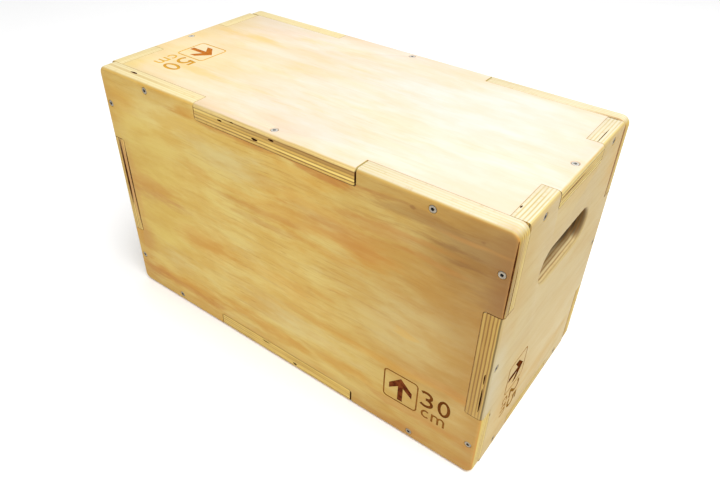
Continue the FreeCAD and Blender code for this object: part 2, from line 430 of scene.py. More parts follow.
        # Painted shade in a hand hole: darker deeper in, darkest high up on its walls
        shade = self.product(self.in_hole, self.step(self.depth, *HOLE_SHADE_DEPTH, 0.0, 0.8))
        core = self.mix(shade, core, HOLE_SHADE)
        high_up = self.step(self.dot(self.at, Z), HOLE_MIDDLE - HOLE_FADE, HOLE_MIDDLE + HOLE_FADE, 0.0, 0.92)
        dark_shade = self.product(self.in_hole, high_up, self.step(self.depth, *HOLE_DEEP_SHADE_DEPTH))
        return self.mix(dark_shade, core, HOLE_DEEP_SHADE)

    def hole_rear_shade(self, wood):
        """Painted shade at the rear end of a hand hole, deepest far into it."""
        rear_wall = self.product(self.faces(-Y, 0.1, 0.7),
                                 self.step(self.depth, *REAR_WALL_DEPTH, 0.35, 0.85))
        to_rear = self.product(self.step(self.dot(self.at, Y), *REAR_SPAN),
                               self.step(self.depth, *REAR_DEPTH, 0.0, 0.8))
        tone = self.mix(self.step(self.depth, *REAR_TONE_DEPTH), HOLE_SHADE, HOLE_DEEP_SHADE)
        return self.mix(self.product(self.in_hole, self.math("MAXIMUM", rear_wall, to_rear)), wood, tone)

    def dressed(self, stains, brown_plies):
        """The finished material."""
        wood = self.mix(self.is_core, self.face_wood(stains), self.core_wood(brown_plies))
        if self.is_end:
            wood = self.hole_rear_shade(wood)
        fine_along, fine_over = FIBRE_RATES
        fibre_place = self.vector(self.product(self.long_way, fine_along),
                                  self.product(self.wide_way, fine_over),
                                  self.product(self.depth, fine_over))
        fibres = self.noise(fibre_place, 1.0, 2.0, 0.6)
        wood = self.mix(self.step(fibres, 0.55, 0.8, 0.0, 0.15), wood, self.dark)

        # Cut fibre ends soak up more and look browner
        end_on = self.blend(self.is_cross, self.dot(self.normal, self.grain),
                            self.dot(self.normal, self.across))
        end_place = self.vector(self.along_grain, self.across_grain, self.jump)
        end_patch = self.step(self.noise(end_place, END_PATCH_RATE), 0.35, 0.65, 0.08, 0.3)
        # Painted light near the top makes the browning of end grain fainter
        end_patch = self.product(end_patch, self.blend(self.lit_on_top, 1.0, 0.25))
        end_grain = self.product(self.step(self.math("ABSOLUTE", end_on), 0.5, 0.95), end_patch)
        wood = self.mix(end_grain, wood, CORE[-1])
        glue, glue_tint = self.glue_lines()
        wood = self.mix(glue, wood, glue_tint)

        # Painted shade: the faces that look into the box are darker, but for those close below its top
        inward_shade = self.product(self.faces(-self.outward, 0.5, 0.95),
                                self.below_top(self.at, *INSIDE_BELOW_TOP, 1.0, 0.0))
        wood = self.mix(inward_shade, wood, INSIDE_SHADE)
        rough = self.math("MULTIPLY_ADD", self.streaks, 0.16, self.math("MULTIPLY_ADD", end_grain, 0.3, 0.45))
        ridges = self.math("MULTIPLY_ADD", fibres, 0.5, self.product(self.streaks, 0.4))
        relief = self.math("SUBTRACT", ridges, self.product(glue, 0.8))
        return self.finish({"Base Color": wood, "Roughness": rough, "Specular IOR Level": 0.2,
                            "Normal": self.bump(relief, WOOD_RELIEF, 0.35)})


def burn_and_shade_wood(name, pale, deep, lit_top=None):
    """Wood browned unevenly by a hot tool, also used as painted shade in gaps and cuts; close to the top of
    the box it can take painted light.
    """
    tree = Tree(name)
    place = tree.place()
    tone = tree.noise(place, 160.0, 4.0, 0.6)
    fleck = tree.noise(place, 900.0, 2.0, 0.6)
    dark_wood_tone = tree.mix(tree.step(tone, 0.38, 0.62), deep, pale)
    dark_wood_tone = tree.mix(tree.step(fleck, 0.55, 0.75, 0.0, 0.5), dark_wood_tone, deep)
    if lit_top:
        # Painted light close to the top
        dark_wood_tone = tree.mix(tree.below_top(place, *SCORCH_LIT_BELOW_TOP), dark_wood_tone, lit_top)
    return tree.finish({"Base Color": dark_wood_tone, "Roughness": tree.math("MULTIPLY_ADD", tone, 0.2, 0.6),
                        "Specular IOR Level": 0.0, "Normal": tree.bump(fleck, BURN_RELIEF, 0.5)})


def zinc(name):
    """Zinc plate, slightly brushed, with dull spots; painted light where it faces up and painted shade where
    it faces right.
    """
    tree = Tree(name)
    place = tree.place()
    spots = tree.noise(place, 700.0, 3.0, 0.6)
    scratch_place = tree.add("VectorMath", {0: place, 1: SCRATCH_RATES}, operation="MULTIPLY")
    scratches = tree.noise(scratch_place, 1.0)
    tint = tree.mix(tree.step(spots, 0.4, 0.7), ZINC_BRIGHT, ZINC_DULL)
    normal = tree.add("TexCoord", {}, "Normal")
    # Painted light on faces that face up, painted shade on faces that face right
    for way, tone in ((Z, ZINC_LIT_ON_TOP), (X, ZINC_SHADED_AT_RIGHT)):
        tint = tree.mix(tree.step(tree.dot(normal, way), 0.5, 0.95, 0.0, 0.9), tint, tone)
    rough = tree.math("MULTIPLY_ADD", spots, 0.2, 0.25)
    return tree.finish({"Base Color": tint, "Metallic": 1.0, "Roughness": rough,
                        "Normal": tree.bump(scratches, ZINC_RELIEF, 0.4)})


def grime_and_shade(name, dark, pale):
    """Dull metal with grime and painted shade, in a screw's recess or round its rim; painted light close to
    the top.
    """
    tree = Tree(name)
    place = tree.place()
    spots = tree.noise(place, 1500.0, 3.0)
    tint = tree.mix(tree.step(spots, 0.4, 0.65), dark, pale)
    # Painted light close to the top
    tint = tree.mix(tree.below_top(place, *GRIME_LIT_BELOW_TOP, 0.0, 0.7), tint, GRIME_LIT_ON_TOP)
    rough = tree.math("MULTIPLY_ADD", spots, 0.3, 0.5)
    return tree.finish({"Base Color": tint, "Metallic": 0.4, "Roughness": rough,
                        "Normal": tree.bump(spots, GRIME_RELIEF, 0.4)})


def pale_floor(name):
    """Plain near-white floor with a trace of mottling."""
    tree = Tree(name)
    spots = tree.noise(tree.place(), 6.0, 3.0)
    tint = tree.mix(spots, (0.95, 0.95, 0.95), (0.97, 0.97, 0.97))
    return tree.finish({"Base Color": tint, "Roughness": tree.math("MULTIPLY_ADD", spots, 0.1, 0.8)})


# Object and mesh helpers
def new_object(name, data, *materials):
    obj = bpy.data.objects.new(name, data)
    bpy.context.scene.collection.objects.link(obj)
    for material in materials:
        data.materials.append(material)
    return obj


def cut_away(obj, cutter, name):
    """Mesh of an object with another one taken out of it; both objects are used up."""
    cut = obj.modifiers.new("cut", "BOOLEAN")
    cut.operation = "DIFFERENCE"
    cut.solver = "EXACT"
    cut.use_self = True
    cut.object = cutter
    bpy.context.view_layer.update()
    graph = bpy.context.evaluated_depsgraph_get()
    mesh = bpy.data.meshes.new_from_object(obj.evaluated_get(graph))
    mesh.name = name
    bpy.data.objects.remove(obj)
    bpy.data.objects.remove(cutter)
    return mesh


def to_mesh(bm, name):
    """New mesh from a bmesh, which is used up."""
    mesh = bpy.data.meshes.new(name)
    bm.to_mesh(mesh)
    bm.free()
    return mesh


def ring(bm, radius, height, sides):
    turns = [2 * math.pi * k / sides for k in range(sides)]
    return [bm.verts.new((radius * math.cos(turn), radius * math.sin(turn), height)) for turn in turns]


def skin(bm, rings):
    """Faces between rings of corners from the top down, and then over both ends."""
    faces = []
    for above, below in zip(rings, rings[1:]):
        for k in range(len(above)):
            faces.append(bm.faces.new((above[k - 1], below[k - 1], below[k], above[k])))
    return faces + [bm.faces.new(rings[0]), bm.faces.new(rings[-1][::-1])]


def prism(bm, outline, place, low, high, material):
    """Closed solid from a flat outline, set by a matrix and reaching from low to high along its own Z."""
    lower = [bm.verts.new(place @ Vector((x, y, low))) for x, y in outline]
    upper = [bm.verts.new(place @ Vector((x, y, high))) for x, y in outline]
    faces = [bm.faces.new(lower[::-1]), bm.faces.new(upper)]
    for k in range(len(outline)):
        faces.append(bm.faces.new((lower[k - 1], lower[k], upper[k], upper[k - 1])))
    for face in faces:
        face.material_index = material


def ring_prism(bm, outer, inner, place, low, high, material):
    """Closed solid between two flat outlines with the same number of points."""
    loops = [[bm.verts.new(place @ Vector((x, y, height))) for x, y in outline]
             for outline in (outer, inner) for height in (low, high)]
    outer_low, outer_high, inner_low, inner_high = loops
    for k in range(len(outer)):
        quads = [
            (outer_low[k - 1], outer_low[k], outer_high[k], outer_high[k - 1]),
            (inner_low[k], inner_low[k - 1], inner_high[k - 1], inner_high[k]),
            (outer_high[k - 1], outer_high[k], inner_high[k], inner_high[k - 1]),
            (outer_low[k], outer_low[k - 1], inner_low[k - 1], inner_low[k]),
        ]
        for quad in quads:
            bm.faces.new(quad).material_index = material


def arc_points(centre, radius, start, end, count, squeeze=1.0):
    """Points of an arc from one angle to another, in degrees; squeeze narrows it in X."""
    points = []
    for k in range(count + 1):
        angle = math.radians(start + (end - start) * k / count)
        points.append((centre[0] + squeeze * radius * math.cos(angle), centre[1] + radius * math.sin(angle)))
    return points


def rounded_square(side, corner, count=6):
    """Outline of a square round the origin with round corners."""
    reach = side / 2 - corner
    points = []
    for turn, (sx, sy) in enumerate(SQUARE_SIGNS):
        points += arc_points((sx * reach, sy * reach), corner, 90 * turn, 90 * turn + 90, count)
    return points


def ribbon(path, width):
    """Outline of a line of even width along a path, with square ends."""
    sides = ([], [])
    for k, point in enumerate(path):
        here = Vector(point)
        before = Vector(path[max(k - 1, 0)])
        after = Vector(path[min(k + 1, len(path) - 1)])
        run = (after - before).normalized()
        normal = Vector((-run.y, run.x))
        first = (here - before).normalized() if k else run
        stretch = 1 / max(first.dot(run), MITRE_LEAST)
        sides[0].append(tuple(here - normal * width / 2 * stretch))
        sides[1].append(tuple(here + normal * width / 2 * stretch))
    return sides[0] + sides[1][::-1]


# Material slots of a board
WOOD_SLOT, ARROW_SLOT, DIGIT_SLOT, LINE_SLOT, VOID_SLOT, SCORCH_SHADE_SLOT, TAB_END_SLOT = range(7)

# Height marks, drawn with their frame round the origin, X to the right and Y up
ARROW_HALF = ((0, 15.7), (13.6, 2.4), (13.6, -5.4), (2.95, 3.0), (2.95, -17.0))
DIGITS_LEFT = 24.2 * MM
DIGITS_FOOT = -4.6 * MM
LETTERS_LEFT = 26.2 * MM
LETTERS_FOOT = -20.5 * MM
LETTER_SPACING = 2.6 * MM

# Shares of a digit's width and height, and of a letter's height, that shape them
WAIST = 0.52
THREE_CENTRE = 0.38
THREE_UPPER = 0.94
FIVE_CENTRE = 0.36
FIVE_BOWL = 0.31
FIVE_STEM = (0.21, 0.16)
TWO_CENTRE = 0.42
TWO_BOWL = 0.27
TWO_FOOT = (0.12, 0.04)
C_CENTRE = 0.42
C_SQUEEZE = 0.92
M_STEM = 0.84
M_ARCH = 0.29


def arrow_outline():
    right = [(x * MM, y * MM) for x, y in ARROW_HALF]
    left = [(-x, y) for x, y in right[:0:-1]]
    return right + left


def digit_paths(digit):
    """Lines of a plain digit that stands on the origin; a zero is a ring and has none."""
    width, height, line = DIGIT_WIDTH, DIGIT_HEIGHT, DIGIT_LINE
    low, high, right = line / 2, height - line / 2, width - line / 2
    if digit == "3":
        centre, waist = width * THREE_CENTRE, height * WAIST
        upper, lower = (high - waist) / 2, (waist - low) / 2
        squeeze = (right * THREE_UPPER - centre) / upper
        return [
            arc_points((centre, high - upper), upper, 140, -90, 24, squeeze),
            arc_points((centre, low + lower), lower, 90, -140, 24, (right - centre) / lower),
        ]
    if digit == "5":
        centre, bowl = width * FIVE_CENTRE, height * FIVE_BOWL
        stem_head, stem_foot = (width * share for share in FIVE_STEM)
        return [
            [(right, high), (stem_foot, high)],
            [(stem_head, height), (stem_foot, low + 2 * bowl - line)],
            arc_points((centre, low + bowl), bowl, 126, -140, 28, (right - centre) / bowl),
        ]
    if digit == "2":
        centre, bowl = width * TWO_CENTRE, height * TWO_BOWL
        heel, toe = (width * share for share in TWO_FOOT)
        neck = arc_points((centre, high - bowl), bowl, 150, -30, 20, (right - centre) / bowl)
        return [neck + [(heel, low)], [(toe, low), (width, low)]]
    return []


def letter_paths():
    """Lines of the two letters of the unit, the first standing on the origin."""
    height, line = LETTER_HEIGHT, LETTER_LINE
    radius = (height - line) / 2
    bowl = arc_points((height * C_CENTRE, height / 2), radius, 48, 312, 24, C_SQUEEZE)
    stem = height * M_STEM + LETTER_SPACING
    arch = height * M_ARCH
    crown = height - line / 2 - arch
    paths = [bowl, [(stem, 0), (stem, height)]]
    for k in range(2):
        foot = stem + 2 * arch * (k + 1)
        paths.append(arc_points((foot - arch, crown), arch, 180, 0, 12) + [(foot, 0)])
    return paths


def mark_cutter(bm, digits, place):
    """Solids that cut one height mark: arrow, digits and fine lines are burnt to their own tones."""
    reach = (-BURN_DEPTH, CUT_OVERRUN)
    prism(bm, arrow_outline(), place, *reach, ARROW_SLOT)
    outer = rounded_square(FRAME_SIDE, FRAME_CORNER)
    inner = rounded_square(FRAME_SIDE - 2 * FRAME_LINE, FRAME_CORNER - FRAME_LINE)
    ring_prism(bm, outer, inner, place, *reach, LINE_SLOT)
    for k, digit in enumerate(digits):
        left = DIGITS_LEFT + k * (DIGIT_WIDTH + DIGIT_SPACING)
        spot = place @ Matrix.Translation((left, DIGITS_FOOT, 0))
        if digit == "0":
            centre = (DIGIT_WIDTH / 2, DIGIT_HEIGHT / 2)
            turn = (0, 360 - 360 / ZERO_SIDES, ZERO_SIDES - 1)
            outer = arc_points(centre, DIGIT_HEIGHT / 2, *turn, DIGIT_WIDTH / DIGIT_HEIGHT)
            inner_height = DIGIT_HEIGHT - 2 * DIGIT_LINE
            squeeze = (DIGIT_WIDTH - 2 * DIGIT_LINE) / inner_height
            inner = arc_points(centre, inner_height / 2, *turn, squeeze)
            ring_prism(bm, outer, inner, spot, *reach, DIGIT_SLOT)
        for path in digit_paths(digit):
            prism(bm, ribbon(path, DIGIT_LINE), spot, *reach, DIGIT_SLOT)
    spot = place @ Matrix.Translation((LETTERS_LEFT, LETTERS_FOOT, 0))
    for path in letter_paths():
        prism(bm, ribbon(path, LETTER_LINE), spot, *reach, LINE_SLOT)


def facing(right, up, centre):
    """Matrix of a mark: its own X and Y along right and up, its Z outward."""
    turn = Matrix((right, up, right.cross(up))).transposed()
    return Matrix.Translation(Vector(centre) * MM) @ turn.to_4x4()


MARKS = {
    "front_panel": ("30", facing(X, Z, (161, FRONT, 65.6))),
    "top_panel": ("50", facing(-Y, X, (-192.2, -27.5, TOP))),
    "right_end_panel": ("25", facing(-Z, Y, (RIGHT, -55.0, 92.6))),
}

# Voids in the core plies that show at cut edges: place and half sizes in millimetres
VOIDS = {
    "front_panel": (
        ((249, -123.7, 253), (1.2, 0.65, 41)),
        ((249.7, -117, 238), (1.2, 0.75, 27)),
        ((-202.5, -113.8, TOP), (6.0, 1.4, 2.5)),
    ),
    "rear_panel": (((RIGHT, 118, 60), (2.5, 0.8, 7)),),
    "top_panel": (
        ((-63.2, FRONT, 292.6), (3.6, 2.5, 0.9)),
        ((-46.8, FRONT, 295.6), (2.6, 1.5, 0.6)),
        ((-17.9, FRONT, 287.4), (3.9, 3.5, 1.4)),
        ((3.4, FRONT, 293.8), (3.6, 2.5, 1.1)),
        ((RIGHT, -20.5, 290.9), (2.5, 25.5, 0.6)),
        ((249.5, -49.6, 291), (2.2, 0.8, 9.5)),
        ((31, REAR, 290.5), (5, 2.5, 1)),
    ),
    "bottom_panel": (
        ((-27, FRONT, 15), (5, 2.5, 1)),
        ((18, FRONT, 6.7), (3, 2.5, 1.2)),
        ((-62, REAR, 9.2), (4, 2.5, 1)),
        ((LEFT, 17, 9), (2.5, 6, 0.8)),
    ),
    "left_end_panel": (
        ((-240.2, FRONT, 166), (1.7, 3.5, 48)),
        ((-233, FRONT, 150), (1.0, 1.5, 64)),
        ((-240.8, REAR, 128), (0.8, 2.5, 9)),
    ),
    "right_end_panel": (
        ((244.2, FRONT, 140), (0.6, 2.5, 6.5)),
        ((244.4, FRONT, 111), (0.75, 3.5, 19.5)),
        ((233.2, -90.5, TOP), (0.8, 2.2, 2)),
        ((RIGHT, -106.2, 76), (2, 1.2, 2.4)),
        ((242.3, 64, TOP), (0.45, 19, 1.6)),
    ),
}
VOID_SUBDIVISIONS = 4
VOID_WAVES = 4
VOID_WAVE_SHARE = 0.08


def void_cutter(bm, place, half_sizes, rng):
    """Lens with a wavy outline where a core ply is missing."""
    made = bmesh.ops.create_icosphere(bm, subdivisions=VOID_SUBDIVISIONS, radius=1.0)
    phases = [rng.uniform(0, 2 * math.pi) for _ in AXES]
    for vert in made["verts"]:
        wave = sum(math.sin(VOID_WAVES * part + phase) for part, phase in zip(vert.co, phases))
        swell = 1 + VOID_WAVE_SHARE * wave
        stretched = Vector([part * size * swell for part, size in zip(vert.co, half_sizes)])
        vert.co = (Vector(place) + stretched) * MM
    for face in {face for vert in made["verts"] for face in vert.link_faces}:
        face.material_index = VOID_SLOT


def standing(spot, outward):
    """Matrix of a screw: its place, with its own Z outward."""
    return Matrix.Translation(spot) @ Z.rotation_difference(outward).to_matrix().to_4x4()


def sink_cutter(bm, spot, outward):
    """Round countersink above and round a screw head."""
    profile = (
        (SINK_RADIUS + CUT_OVERRUN, SCREW_SUNK + CUT_OVERRUN),
        (SINK_RADIUS, SCREW_SUNK),
        (SINK_WALL, 0),
        (SINK_FOOT, -SCREW_HEAD_HEIGHT),
        (SINK_FOOT, -SINK_DEPTH),
    )
    rings = [ring(bm, radius, height, HEAD_SIDES) for radius, height in profile]
    skin(bm, rings)
    verts = [vert for loop in rings for vert in loop]
    bmesh.ops.transform(bm, matrix=standing(spot, outward), verts=verts)


def is_tab_end(face):
    """Whether a face ends a tab or notch: it stands across an edge of the box, away from the corners."""
    along = max(range(3), key=lambda axis: abs(face.normal[axis]))
    middle = face.calc_center_median()
    gaps = [min(gap) for gap in zip(middle - cad_low, cad_high - middle)]
    beside = [gap for axis, gap in enumerate(gaps) if axis != along]
    flat = abs(face.normal[along]) > FLAT_FACE
    return flat and gaps[along] > JOINT_REACH and JOINT_COVER < min(beside) and max(beside) < JOINT_REACH


def panel_mesh(name):
    """Welded copy of a panel's solid: sharp edges are broken and get scorch with painted seam shade, tab ends
    painted slot shade.
    """
    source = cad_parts[name].data
    plain = bpy.data.meshes.new(name + "_plain")
    plain.from_pydata([vert.co for vert in source.vertices], [], [face.vertices for face in source.polygons])
    bm = bmesh.new()
    bm.from_mesh(plain)
    bpy.data.meshes.remove(plain)
    bmesh.ops.remove_doubles(bm, verts=bm.verts, dist=WELD)
    bmesh.ops.dissolve_limit(bm, angle_limit=FLAT_EDGE, verts=bm.verts, edges=bm.edges)
    for face in bm.faces:
        face.material_index = TAB_END_SLOT if is_tab_end(face) else WOOD_SLOT

    def away_from_screws(edge):
        middle = (edge.verts[0].co + edge.verts[1].co) / 2
        return all((middle - spot).length > NEAR_SCREW for spot, _, _ in SCREWS)

    def convex_edges(low, high):
        edges = [edge for edge in bm.edges if edge.is_manifold and edge.is_convex]
        return [edge for edge in edges if low < edge.calc_face_angle() <= high and away_from_screws(edge)]

    options = {"profile": 0.5, "affect": "EDGES", "clamp_overlap": True}
    rims = convex_edges(RIM_EDGE, SHARP_EDGE)
    bmesh.ops.bevel(bm, geom=rims, offset=RIM_BREAK, segments=3, material=WOOD_SLOT, **options)
    cuts = convex_edges(SHARP_EDGE, math.pi)
    broken = bmesh.ops.bevel(bm, geom=cuts, offset=EDGE_BREAK, segments=2, **options)
    bm.normal_update()
    for face in broken["faces"]:
        # Broken edges that do not face up get scorch with painted seam shade
        face.material_index = SCORCH_SHADE_SLOT if face.normal.z < UP_FACING else WOOD_SLOT
    return to_mesh(bm, name + "_cut")


def cutter_mesh(name, rng):
    """Everything that is taken out of one panel besides its joints: height mark, voids and countersinks."""
    bm = bmesh.new()
    if name in MARKS:
        mark_cutter(bm, *MARKS[name])
    for place, half_sizes in VOIDS[name]:
        void_cutter(bm, place, half_sizes, rng)
    corners = [vert.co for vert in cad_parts[name].data.vertices]
    for spot, outward, _ in SCREWS:
        if any((corner - spot).length < SINK_RADIUS for corner in corners):
            sink_cutter(bm, spot, outward)
    bmesh.ops.recalc_face_normals(bm, faces=bm.faces)
    return to_mesh(bm, name + "_cutter")


def board(name, wood, burns, rng):
    """Plywood panel with its mark burnt in, its voids open and its screw holes countersunk."""
    materials = (wood, *burns, void_shade_wood, scorch_and_shade_wood, tab_end_shade_wood)
    blank = new_object(name + "_blank", panel_mesh(name), *materials)
    cutter = new_object(name + "_cutter", cutter_mesh(name, rng), *materials)
    mesh = cut_away(blank, cutter, name.replace("panel", "board"))
    mesh.set_sharp_from_angle(angle=SMOOTH_BELOW)
    piece = new_object(mesh.name, mesh)
    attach(piece, "root")
    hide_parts(name)


def threaded_shank(bm, length):
    """Tapering core with a helical ridge, from under the head to the point."""
    top = -SCREW_HEAD_HEIGHT + 2 * HEAD_EDGE
    count = int((length - SCREW_HEAD_HEIGHT) / SCREW_PITCH * RINGS_PER_TURN)
    rings = []
    for i in range(count + 1):
        height = top + (-length - top) * i / count
        taper = min(1.0, (length + height) / SCREW_POINT + TIP_SHARE)
        verts = ring(bm, 1.0, height, SHANK_SIDES)
        for k, vert in enumerate(verts):
            turn = (i / RINGS_PER_TURN + k / SHANK_SIDES) % 1
            ridge = max(0.0, 1 - RIDGE_SLOPE * abs(turn - 0.5))
            radius = (SCREW_CORE + (SCREW_SHANK - SCREW_CORE) * ridge) * taper
            vert.co.x *= radius
            vert.co.y *= radius
        rings.append(verts)
    skin(bm, rings)


# Material slots of a screw after its zinc plate
GRIME_SHADE_SLOT, RIM_SLOT = 1, 2


def screw_head(bm):
    """Countersunk head with its edge a little rounded and a dull rim of grime and painted shade."""
    profile = (
        (SCREW_HEAD - HEAD_EDGE, 0),
        (SCREW_HEAD, -HEAD_EDGE / 4),
        (SCREW_HEAD + HEAD_EDGE, -HEAD_RIM_DROP),
        (SCREW_CORE, -SCREW_HEAD_HEIGHT),
    )
    rings = [ring(bm, radius, height, HEAD_SIDES) for radius, height in profile]
    for face in skin(bm, rings)[HEAD_SIDES:-2]:
        face.material_index = RIM_SLOT


def recess(bm):
    """Cross that narrows towards its bottom."""
    for crosswise in (False, True):
        rings = []
        for arm_share, width_share, height_share in (RECESS_MOUTH_SHARES, RECESS_FOOT_SHARES):
            sizes = (RECESS_ARM * arm_share, RECESS_WIDTH * width_share)
            x, y = sizes[::-1] if crosswise else sizes
            height = RECESS_DEPTH * height_share
            rings.append([bm.verts.new((sx * x, sy * y, height)) for sx, sy in SQUARE_SIGNS])
        # Grime and painted shade in the recess
        for face in skin(bm, rings):
            face.material_index = GRIME_SHADE_SLOT


def screw_part(maker, materials):
    bm = bmesh.new()
    maker(bm)
    bmesh.ops.recalc_face_normals(bm, faces=bm.faces)
    return new_object("screw_part", to_mesh(bm, "screw_part"), *materials)


def screw_mesh(length, materials):
    """One screw with its head at Z = 0 and its point below."""
    bm = bmesh.new()
    bm.from_mesh(cut_away(screw_part(screw_head, materials), screw_part(recess, materials), "cut_head"))
    threaded_shank(bm, length)
    return to_mesh(bm, "screw")


def solids_of(node):
    """Lowest and highest corner of each separate solid of a node."""
    bm = bmesh.new()
    bm.from_mesh(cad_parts[node].data)
    bmesh.ops.remove_doubles(bm, verts=bm.verts, dist=WELD)
    left = set(bm.verts)
    boxes = []
    while left:
        front = [left.pop()]
        found = []
        while front:
            vert = front.pop()
            found.append(vert.co.copy())
            beside = {edge.other_vert(vert) for edge in vert.link_edges} & left
            left -= beside
            front += beside
        boxes.append([Vector([pick(line) for line in zip(*found)]) for pick in (min, max)])
    bm.free()
    return sorted(boxes, key=lambda box: tuple(box[0]))


def screw_places(node):
    """Head place, outward direction and length of each screw of a node."""
    places = []
    for low, high in solids_of(node):
        size = high - low
        k = max(range(3), key=lambda axis: size[axis])
        outward_high = cad_high[k] - high[k] < low[k] - cad_low[k]
        spot = (low + high) / 2
        spot[k] = high[k] if outward_high else low[k]
        places.append((spot, AXES[k] if outward_high else -AXES[k], size[k]))
    return places


def screw_set(node, materials, rng):
    """The screws of one edge as one piece, each turned as it was driven."""
    bm = bmesh.new()
    for spot, outward, length in screw_places(node):
        one = screw_mesh(length, materials)
        spin = Matrix.Rotation(rng.uniform(0, math.pi / 2), 4, "Z")
        one.transform(standing(spot, outward) @ spin)
        bm.from_mesh(one)
        bpy.data.meshes.remove(one)
    mesh = to_mesh(bm, node.replace("_screws", "_wood_screws"))
    piece = new_object(mesh.name, mesh, *materials)
    mesh.set_sharp_from_angle(angle=SMOOTH_BELOW)
    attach(piece, "root")
    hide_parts(node)


# Mottling of the veneers, as factors
PALE_MOTTLE = (1.05, 1.13, 1.30)
WARM_MOTTLE = (0.95, 0.87, 0.71)

# Wood tones: light, warm, dark and pale
FRONT_VENEER = ((0.615, 0.435, 0.116), (0.58, 0.32, 0.055), (0.39, 0.185, 0.036), (0.60, 0.45, 0.165))
# Painted light: the top's veneer is paler and less saturated than the front's, and its figure fainter, as the
# top is brightly lit
LIT_TOP_VENEER = ((0.66, 0.54, 0.43), (0.66, 0.46, 0.17), (0.50, 0.34, 0.16), (0.66, 0.57, 0.48))
END_VENEER = ((0.43, 0.325, 0.143), (0.42, 0.285, 0.095), (0.30, 0.19, 0.06), (0.44, 0.34, 0.165))
END_PALE = (0.475, 0.365, 0.165)
END_GOLD = (0.44, 0.275, 0.068)
END_GREY = (0.43, 0.37, 0.22)
END_LIGHT = (0.475, 0.35, 0.14)
TOP_GOLD = (0.655, 0.505, 0.19)
CORE = ((0.82, 0.60, 0.16), (0.62, 0.385, 0.08), (0.40, 0.22, 0.05))
# Painted light on core edges that face up, whiter at the right; the warm one also tones a ply of the top
# panel
LIT_EDGE = (0.60, 0.535, 0.38)
LIT_EDGE_LEFT = (0.62, 0.53, 0.30)
PALE_EDGE_WARM = (0.62, 0.50, 0.27)
RIGHT_FACING_SHADE = (0.69, 0.73, 0.69)
GLUE = (0.23, 0.11, 0.026)
FIRST_GLUE = (0.46, 0.22, 0.042)
END_GLUE = (0.17, 0.115, 0.035)
# Glue lines in the painted light near the top
LIT_TOP_GLUE = (0.52, 0.42, 0.17)
LIT_TOP_GLUE_RIGHT = (0.44, 0.34, 0.125)
# Painted shade inside a hand hole
HOLE_SHADE = (0.17, 0.105, 0.05)
HOLE_DEEP_SHADE = (0.05, 0.028, 0.012)
INSIDE_SHADE = (0.22, 0.135, 0.06)
YELLOW = (0.69, 0.49, 0.105)
PALE = (0.57, 0.43, 0.17)
GOLD = (0.57, 0.31, 0.05)
RUSSET = (0.47, 0.215, 0.045)
BROWN = (0.37, 0.205, 0.05)
UMBER = (0.225, 0.105, 0.031)
ROSE = (0.70, 0.35, 0.12)
STRAW = (0.66, 0.50, 0.165)
HONEY = (0.61, 0.41, 0.068)
PINK_HIGHLIGHT = (0.64, 0.50, 0.38)
CREAM = (0.66, 0.56, 0.49)
RUST = (0.29, 0.115, 0.022)
IVORY = (0.66, 0.585, 0.45)

# Screw tones, with painted light on top and painted shade at the right end
ZINC_BRIGHT = (0.35, 0.31, 0.245)
ZINC_DULL = (0.22, 0.19, 0.145)
ZINC_LIT_ON_TOP = (1.0, 0.97, 0.9)
ZINC_SHADED_AT_RIGHT = (0.09, 0.075, 0.05)
GRIME_LIT_ON_TOP = (0.3, 0.29, 0.26)

